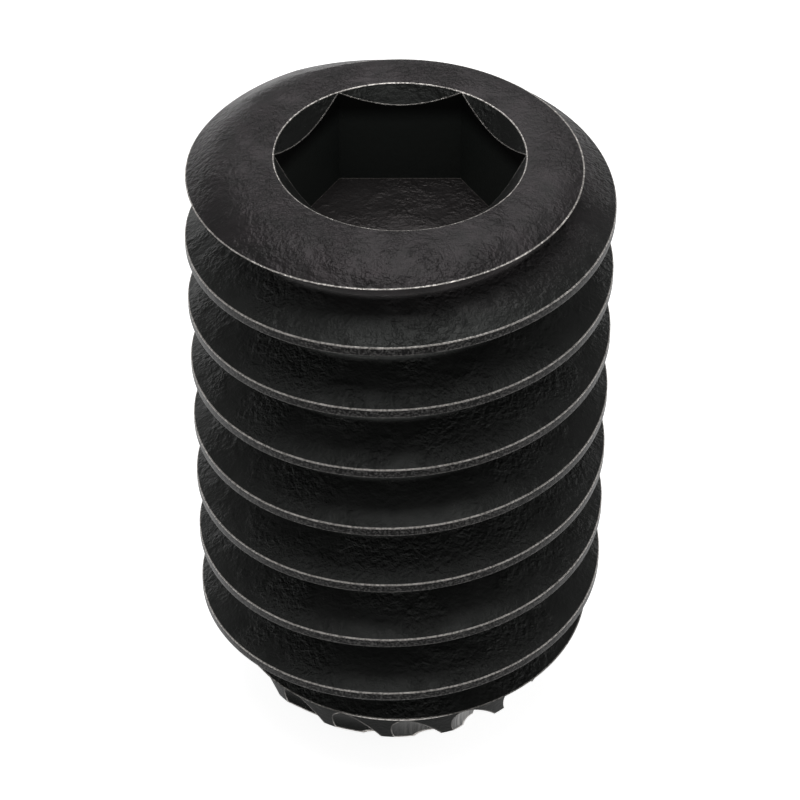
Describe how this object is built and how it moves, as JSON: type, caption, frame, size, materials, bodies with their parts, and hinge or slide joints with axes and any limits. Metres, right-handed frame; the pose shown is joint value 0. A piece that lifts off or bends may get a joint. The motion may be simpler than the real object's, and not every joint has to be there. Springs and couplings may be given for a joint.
{
  "type": "socket set screw",
  "caption": "Headless black steel grub screw with a right-hand coarse thread, a countersunk hex socket in its top and a knurled cup point at its foot.",
  "frame": {"origin": "centre of the cup rim that the screw stands on", "axes": "+Z along the screw's axis, towards the hex socket; the socket has flats facing -Y and +Y and corners on +X and -X"},
  "size_m": [0.008, 0.008, 0.0127],
  "materials": {
    "black_steel": "black oxide"
  },
  "bodies": {
    "root": {"set_screw": "black_steel"}
  },
  "joints": []
}
